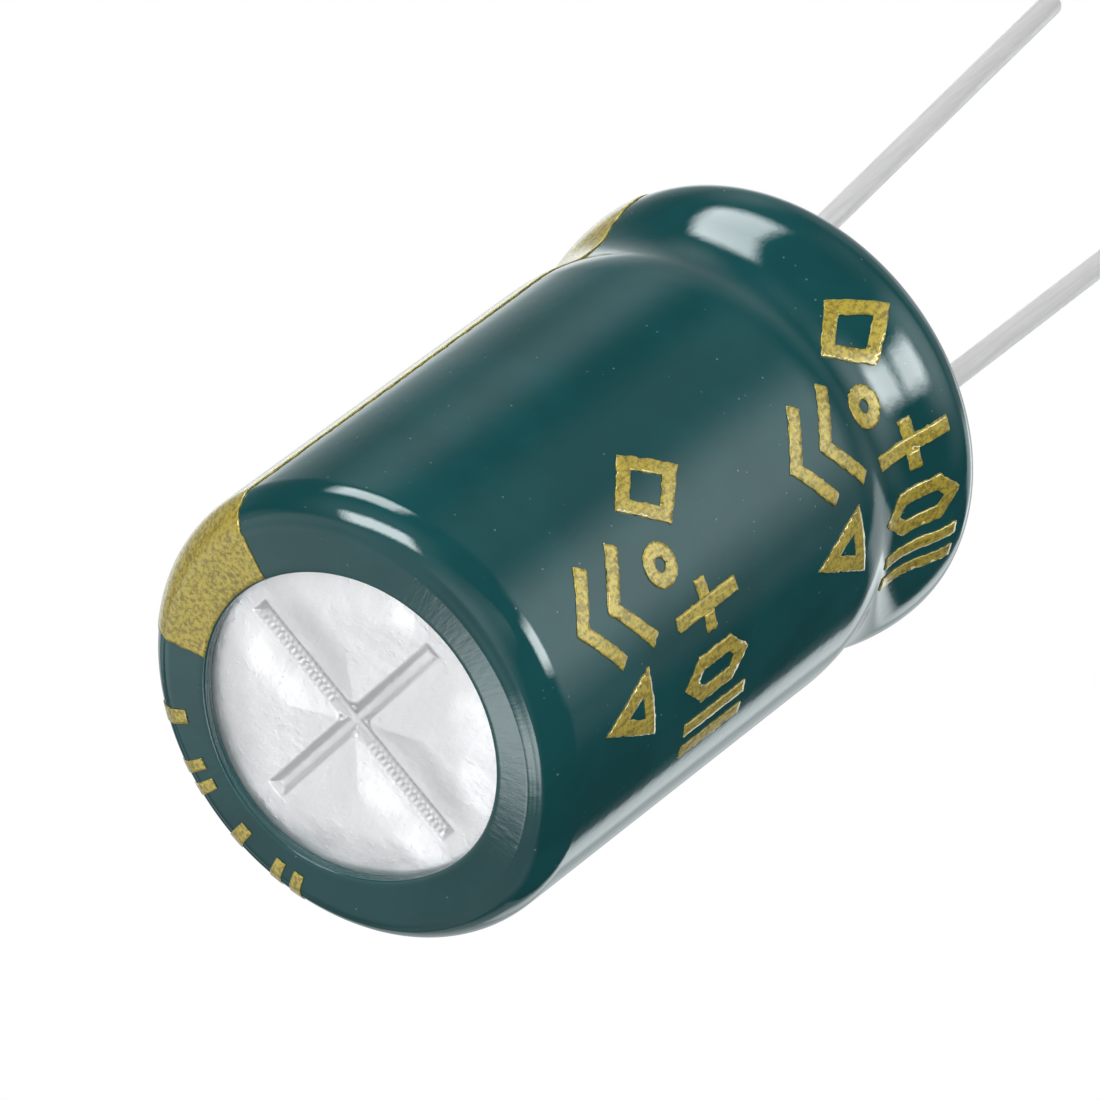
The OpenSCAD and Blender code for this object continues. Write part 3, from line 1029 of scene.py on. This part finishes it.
class CAP_OT_insides(bpy.types.Operator):
    """Gives the CAD pieces that stay their finishes"""

    bl_idname = "capacitor.insides"
    bl_label = "Seal and Insides"

    def execute(self, context):
        rubber = plain_finish("bung_rubber", (0.018, 0.018, 0.02), 0.62, 3.0, 0.2)
        paper = plain_finish("foil_and_paper", (0.36, 0.3, 0.22), 0.75, 2.0)
        tape = plain_finish("fixing_tape", (0.62, 0.5, 0.2), 0.4, 1.0, 0.06, 0.01)
        tab = plain_finish("tab_aluminium", (0.8, 0.8, 0.81), 0.4, 2.0, 0.06, 0.01, 1.0)
        finishes = {
            "bung": rubber, "winding": paper, "winding_tape": tape,
            "tab_positive": tab, "tab_negative": tab,
        }
        for node, material in finishes.items():
            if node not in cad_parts:
                raise RuntimeError(f"the frame has no {node}")
            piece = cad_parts[node]
            piece.data.materials.clear()
            piece.data.materials.append(material)
        return {"FINISHED"}


class CAP_OT_stage(bpy.types.Operator):
    """Sets the floor, the surroundings, the lamps and the camera"""

    bl_idname = "capacitor.stage"
    bl_label = "Stage"

    def execute(self, context):
        stage = settings("cap_stage")
        self.floor(stage)
        self.surroundings(context, stage)
        self.lamps(stage)
        self.camera(context, stage)
        context.scene.view_settings.view_transform = "Standard"
        return {"FINISHED"}

    @staticmethod
    def floor(stage):
        mesh = bmesh.new()
        bmesh.ops.create_grid(mesh, x_segments=1, y_segments=1, size=600)
        bmesh.ops.translate(mesh, vec=(0, 0, -stage.floor), verts=mesh.verts)
        n = Nodes("pale_floor")
        n.surface(Base_Color=(0.85, 0.85, 0.85), Roughness=0.9)
        light = n.add("ShaderNodeEmission")
        n.put(light, Strength=1.07)
        seen = n.product(n.add("ShaderNodeLightPath").outputs["Is Camera Ray"], 0.88)
        pale = n.blend(seen, n.shader, light)
        # seen from below the floor is clear, so it hides nothing there
        back = n.add("ShaderNodeNewGeometry").outputs["Backfacing"]
        floor_shader = n.blend(back, pale, n.add("ShaderNodeBsdfTransparent"))
        n.join(floor_shader.outputs[0], n.output.inputs["Surface"])
        floor = shown("floor", in_metres(mesh, "floor", n.material))
        floor.visible_glossy = False

    @staticmethod
    def surroundings(context, stage):
        """White to the camera, panels and a sweep to glossy surfaces, even light to matt ones."""
        world = bpy.data.worlds.new("studio")
        context.scene.world = world
        tree = Tree(world)
        maths, product, step = tree.maths, tree.product, tree.ramp
        heading = tree.add("ShaderNodeTexCoord").outputs["Generated"]

        def dot(vector):
            node = tree.add("ShaderNodeVectorMath", operation="DOT_PRODUCT")
            tree.join(heading, node.inputs[0])
            node.inputs[1].default_value = vector
            return node.outputs["Value"]

        def panel(azimuth, elevation, wide, high, level, soft):
            ahead = towards(math.radians(azimuth), math.radians(elevation))
            right = ahead.cross(Vector((0, 0, 1))).normalized()
            depth = maths("MAXIMUM", dot(ahead), 0.02)
            parts = []
            for axis, half in ((right, wide), (right.cross(ahead), high)):
                edge = math.tan(math.radians(half))
                off = maths("ABSOLUTE", maths("DIVIDE", dot(axis), depth))
                parts.append(step(off, edge + soft, max(0.0, edge - soft)))
            return product(*parts, step(dot(ahead), 0.02, 0.1), level)

        def sweep(azimuth, rise, fall, level):
            ahead = towards(math.radians(azimuth), 0)
            turn = maths("ARCTAN2", dot(Vector((0, 0, 1)).cross(ahead)), dot(ahead))
            sides = [step(turn, *map(math.radians, ends)) for ends in (rise, fall)]
            return product(*sides, step(dot((0, 0, 1)), 0.08, -0.06), level)

        total = maths("ADD", sweep(*SWEEP), DARK_LEVEL)
        for row in PANELS:
            total = maths("ADD", total, panel(*row))
        path = tree.add("ShaderNodeLightPath")
        camera = path.outputs["Is Camera Ray"]
        matt = maths("SUBTRACT", stage.even, product(dot((0, 0, 1)), stage.fall))
        plain = maths("ADD", camera, product(maths("SUBTRACT", 1.0, camera), matt))
        background, mirrored = tree.nodes["Background"], tree.add("ShaderNodeBackground")
        tree.fill(background.inputs, ((1, 1, 1), plain))
        tree.fill(mirrored.inputs, ((0.93, 0.99, 1.0), total))
        both = tree.blend(path.outputs["Is Glossy Ray"], background, mirrored)
        tree.join(both.outputs[0], tree.nodes["World Output"].inputs["Surface"])

    @staticmethod
    def lamps(stage):
        """A broad soft light from the camera's upper side, for matt surfaces only."""
        lamp = bpy.data.lights.new("soft_key", "SUN")
        lamp.energy = stage.key
        lamp.angle = stage.key_size
        key = shown("soft_key", lamp)
        key.rotation_mode = "QUATERNION"
        back = towards(stage.key_azimuth, stage.key_elevation)
        key.rotation_quaternion = back.to_track_quat("Z", "Y")
        key.visible_glossy = False

    @staticmethod
    def camera(context, stage):
        data = bpy.data.cameras.new("camera")
        data.sensor_width = 36
        data.lens = stage.lens
        data.clip_start, data.clip_end = 0.01, 10
        data.dof.use_dof = False
        camera = shown("camera", data)
        back = towards(stage.azimuth, stage.elevation)
        right = Vector((0, 0, 1)).cross(back).normalized()
        up = back.cross(right)
        c, s = math.cos(stage.roll), math.sin(stage.roll)
        x_axis = c * right + s * up
        y_axis = -s * right + c * up
        place = Vector(stage.aim) + back * stage.distance * MM
        turn = Matrix((x_axis, y_axis, back)).transposed()
        camera.matrix_world = Matrix.Translation(place) @ turn.to_4x4()
        context.scene.camera = camera


class CAP_PT_panel(bpy.types.Panel):
    """Lists the capacitor's pieces"""

    bl_idname = "CAP_PT_panel"
    bl_label = "Radial Capacitor"
    bl_space_type = "VIEW_3D"
    bl_region_type = "UI"
    bl_category = "Capacitor"

    def draw(self, context):
        for operator in OPERATORS:
            self.layout.operator(operator.bl_idname)
        for name in GROUPS:
            box = self.layout.box()
            group = getattr(context.scene, name)
            for prop in group.bl_rna.properties:
                if prop.identifier not in ("rna_type", "name"):
                    box.prop(group, prop.identifier)


GROUPS = {
    "cap_can": CanSizes,
    "cap_sleeve": SleeveSizes,
    "cap_ink": InkSizes,
    "cap_vent": VentSizes,
    "cap_leads": LeadSizes,
    "cap_stage": StageSizes,
}
OPERATORS = (
    CAP_OT_sleeve,
    CAP_OT_inks,
    CAP_OT_can,
    CAP_OT_leads,
    CAP_OT_insides,
    CAP_OT_stage,
)


def register():
    for group in GROUPS.values():
        bpy.utils.register_class(group)
    for name, group in GROUPS.items():
        setattr(bpy.types.Scene, name, PointerProperty(type=group))
    for operator in OPERATORS:
        bpy.utils.register_class(operator)
    bpy.utils.register_class(CAP_PT_panel)


def unregister():
    bpy.utils.unregister_class(CAP_PT_panel)
    for operator in reversed(OPERATORS):
        bpy.utils.unregister_class(operator)
    for name, group in reversed(GROUPS.items()):
        delattr(bpy.types.Scene, name)
        bpy.utils.unregister_class(group)


def main():
    register()
    for operator in OPERATORS:
        family, name = operator.bl_idname.split(".")
        getattr(getattr(bpy.ops, family), name)()


if __name__ == "__main__":
    main()
